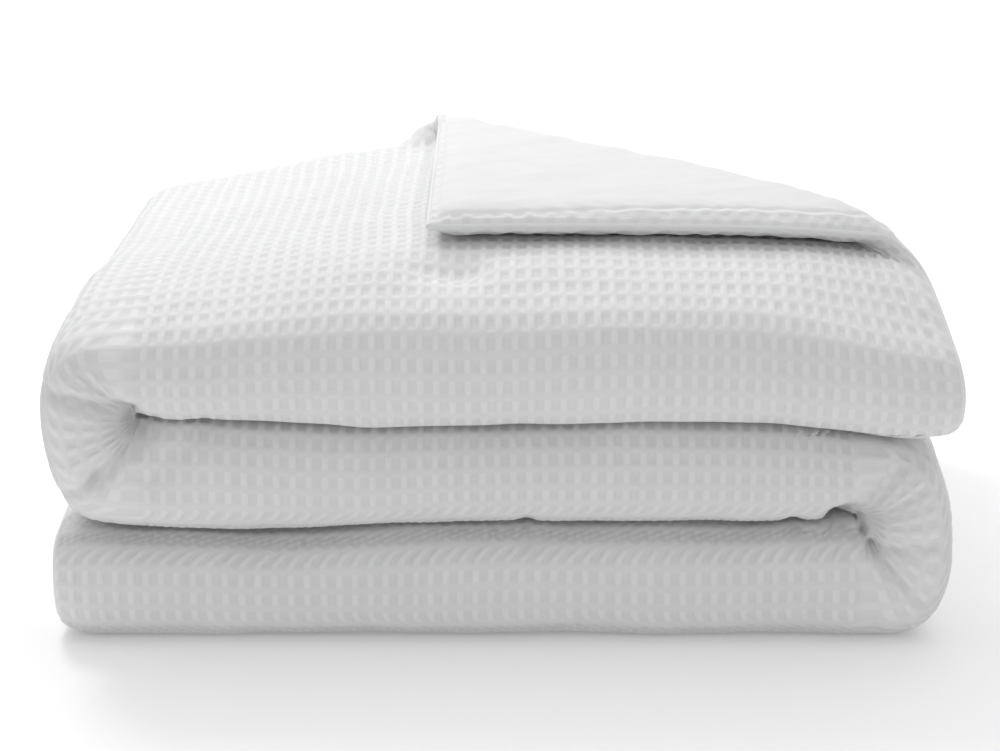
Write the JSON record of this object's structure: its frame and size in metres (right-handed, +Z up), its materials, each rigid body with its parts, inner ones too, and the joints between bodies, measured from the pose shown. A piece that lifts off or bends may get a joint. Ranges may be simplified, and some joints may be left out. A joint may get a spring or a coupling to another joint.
{
  "type": "reversible comforter",
  "caption": "White reversible comforter with a waffle weave face and a plain reverse, folded in thirds both ways, one top corner turned over.",
  "frame": {"origin": "on the surface that the stack lies on, below the middle of its bounding box", "axes": "+X right along the stack's width seen from its folded front, +Y from the front fold to the back, +Z up"},
  "size_m": [0.7968, 0.5904, 0.365],
  "materials": {
    "white_cotton": "matt white cotton, waffle weave face and plain brushed reverse"
  },
  "bodies": {
    "root": {"comforter": "white_cotton"}
  },
  "joints": []
}
